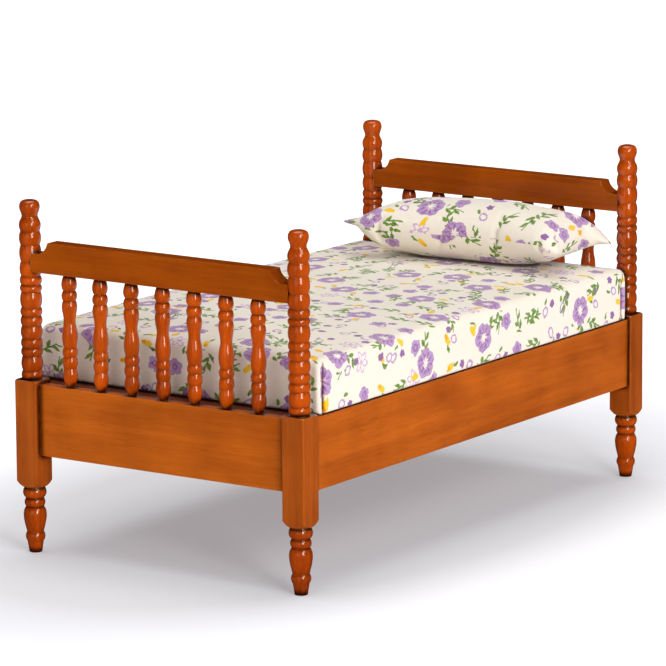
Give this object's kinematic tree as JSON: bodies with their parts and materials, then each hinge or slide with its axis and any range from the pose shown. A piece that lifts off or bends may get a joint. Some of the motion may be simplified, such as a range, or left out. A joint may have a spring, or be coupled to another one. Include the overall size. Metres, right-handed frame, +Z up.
{
  "type": "miniature four poster bed",
  "caption": "Dolls house single bed with bobbin-turned corner posts, spindle headboard and footboard, plain rails, and a loose floral mattress and pillow that lift off.",
  "frame": {"origin": "on the floor, under the middle of the bed", "axes": "+X across the bed to the right seen from the foot, +Y along the bed from foot to head, +Z up"},
  "size_m": [0.0966, 0.1756, 0.0989],
  "materials": {
    "stained_wood": "orange-brown stain under semi-gloss lacquer",
    "inner_wood": "thin reddish stain, unpolished",
    "printed_cotton": "plain-weave cotton printed with small lilac and yellow flowers",
    "filling": "soft white wadding"
  },
  "bodies": {
    "frame": {"foot_post_left": "stained_wood", "foot_post_right": "stained_wood", "head_post_left": "stained_wood", "head_post_right": "stained_wood", "foot_top_rail": "stained_wood", "head_top_rail": "stained_wood", "foot_lower_rail": "stained_wood", "head_lower_rail": "stained_wood", "foot_spindle_1": "stained_wood", "foot_spindle_2": "stained_wood", "foot_spindle_3": "stained_wood", "foot_spindle_4": "stained_wood", "foot_spindle_5": "stained_wood", "foot_spindle_6": "stained_wood", "foot_spindle_7": "stained_wood", "head_spindle_1": "stained_wood", "head_spindle_2": "stained_wood", "head_spindle_3": "stained_wood", "head_spindle_4": "stained_wood", "head_spindle_5": "stained_wood", "head_spindle_6": "stained_wood", "head_spindle_7": "stained_wood", "side_rail_left": "stained_wood", "side_rail_right": "stained_wood", "side_cleat_left": "inner_wood", "side_cleat_right": "inner_wood", "base_board": "inner_wood"},
    "mattress": {"mattress_cover": "printed_cotton", "mattress_filling": "filling"},
    "pillow": {"pillow_cover": "printed_cotton", "pillow_filling": "filling"}
  },
  "joints": [
    {"name": "mattress_lift", "type": "slide", "parent": "frame", "child": "mattress", "axis": [0, 0, 1], "range_m": [0, 0.06]},
    {"name": "pillow_lift", "type": "slide", "parent": "mattress", "child": "pillow", "axis": [0, 0, 1], "range_m": [0, 0.04]}
  ]
}
